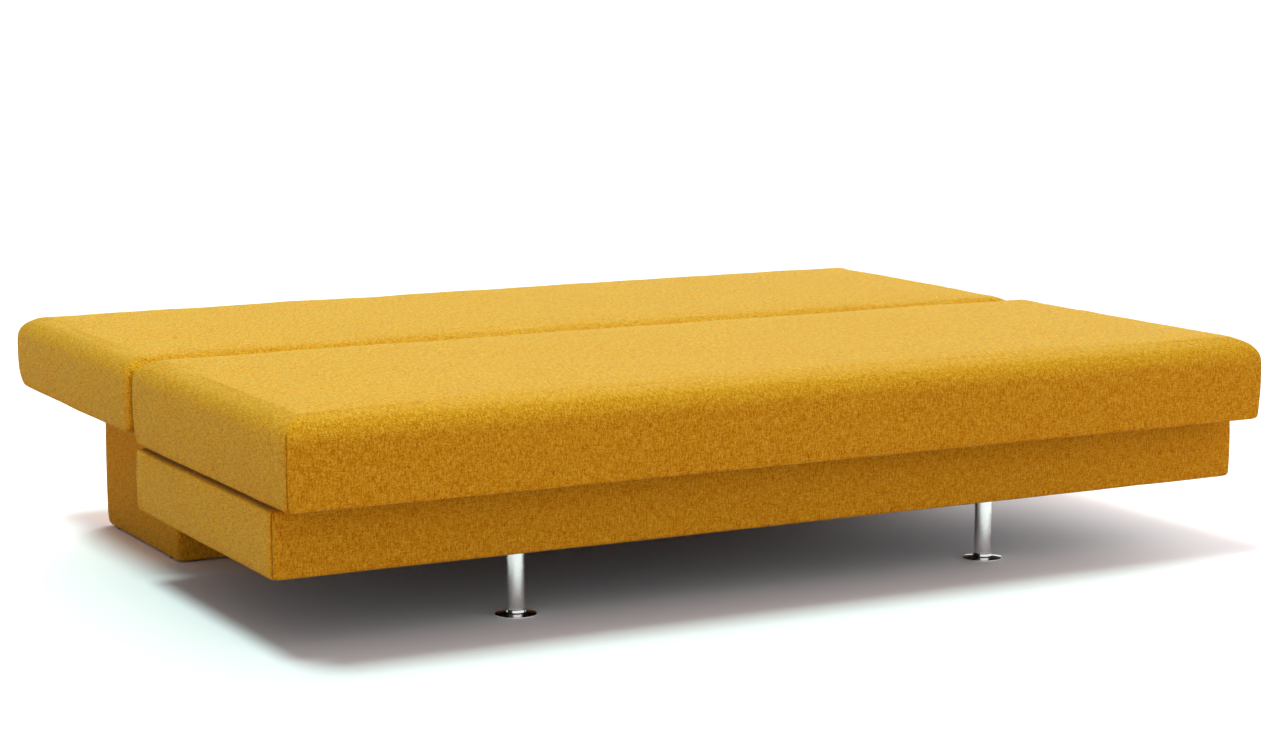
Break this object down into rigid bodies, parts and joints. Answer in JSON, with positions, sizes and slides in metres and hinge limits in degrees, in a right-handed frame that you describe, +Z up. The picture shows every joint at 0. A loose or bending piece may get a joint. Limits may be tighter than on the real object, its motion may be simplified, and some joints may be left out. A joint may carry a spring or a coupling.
{
  "type": "click clack sofa bed",
  "caption": "Upholstered click clack sofa bed laid flat: seat half over a bedding box on chromed legs, back half on a plinth.",
  "frame": {"origin": "on the floor under the middle of the flat bed", "axes": "+X along the bed's length, -Y the front of the seat, +Z up"},
  "size_m": [2, 1.5, 0.409],
  "materials": {
    "mustard_cloth": "coarse flecked weave",
    "plain_cloth": "thin bonded dust cloth",
    "birch_ply": "raw plywood",
    "beech_wood": "planed timber",
    "chromed_steel": "polished",
    "satin_chrome": "satin",
    "black_steel": "powder coat",
    "zinc_steel": "zinc plated",
    "black_rubber": "moulded"
  },
  "bodies": {
    "base": {"box_cover": "mustard_cloth", "plinth_cover": "mustard_cloth", "box_front_board": "birch_ply", "box_rear_board": "birch_ply", "box_left_board": "birch_ply", "box_right_board": "birch_ply", "box_bottom_panel": "birch_ply", "plinth_front_board": "birch_ply", "plinth_rear_board": "birch_ply", "plinth_top_board": "birch_ply", "plinth_left_board": "birch_ply", "plinth_right_board": "birch_ply", "left_leg_foot": "chromed_steel", "left_leg_tube": "satin_chrome", "left_leg_plate": "black_steel", "left_stretcher": "black_steel", "left_seat_buffer": "black_rubber", "left_back_buffer": "black_rubber", "left_hinge_bracket": "black_steel", "left_hinge_ratchet": "zinc_steel", "left_hinge_pin": "zinc_steel", "plinth_front_left_glide": "black_rubber", "plinth_rear_left_glide": "black_rubber", "right_leg_foot": "chromed_steel", "right_leg_tube": "satin_chrome", "right_leg_plate": "black_steel", "right_stretcher": "black_steel", "right_seat_buffer": "black_rubber", "right_back_buffer": "black_rubber", "right_hinge_bracket": "black_steel", "right_hinge_ratchet": "zinc_steel", "right_hinge_pin": "zinc_steel", "plinth_front_right_glide": "black_rubber", "plinth_rear_right_glide": "black_rubber"},
    "seat": {"seat_cushion": "mustard_cloth", "seat_deck": "birch_ply", "seat_dust_cover": "plain_cloth", "seat_front_rail": "beech_wood", "seat_rear_rail": "beech_wood", "seat_left_rail": "beech_wood", "seat_right_rail": "beech_wood", "left_hinge_seat_arm": "black_steel", "right_hinge_seat_arm": "black_steel"},
    "back": {"back_cushion": "mustard_cloth", "back_deck": "birch_ply", "back_dust_cover": "plain_cloth", "back_front_rail": "beech_wood", "back_rear_rail": "beech_wood", "back_left_rail": "beech_wood", "back_right_rail": "beech_wood", "left_hinge_back_arm": "black_steel", "left_pawl_pin": "zinc_steel", "left_pawl_spring": "zinc_steel", "right_hinge_back_arm": "black_steel", "right_pawl_pin": "zinc_steel", "right_pawl_spring": "zinc_steel"},
    "left_pawl": {"left_pawl": "zinc_steel"},
    "right_pawl": {"right_pawl": "zinc_steel"}
  },
  "joints": [
    {"name": "seat_lift", "type": "hinge", "parent": "base", "child": "seat", "pos_m": [0, 0.0255, 0.384], "axis": [-1, 0, 0], "range_deg": [0, 30]},
    {"name": "back_fold", "type": "hinge", "parent": "base", "child": "back", "pos_m": [0, 0.0255, 0.384], "axis": [1, 0, 0], "range_deg": [0, 75]},
    {"name": "left_pawl_release", "type": "hinge", "parent": "back", "child": "left_pawl", "pos_m": [-0.9201, 0.04386, 0.33857], "axis": [1, 0, 0], "range_deg": [0, 12], "stiffness_Nm_per_rad": 0.5, "springref_deg": -17.19},
    {"name": "right_pawl_release", "type": "hinge", "parent": "back", "child": "right_pawl", "pos_m": [0.9201, 0.04386, 0.33857], "axis": [1, 0, 0], "range_deg": [0, 12], "stiffness_Nm_per_rad": 0.5, "springref_deg": -17.19}
  ]
}
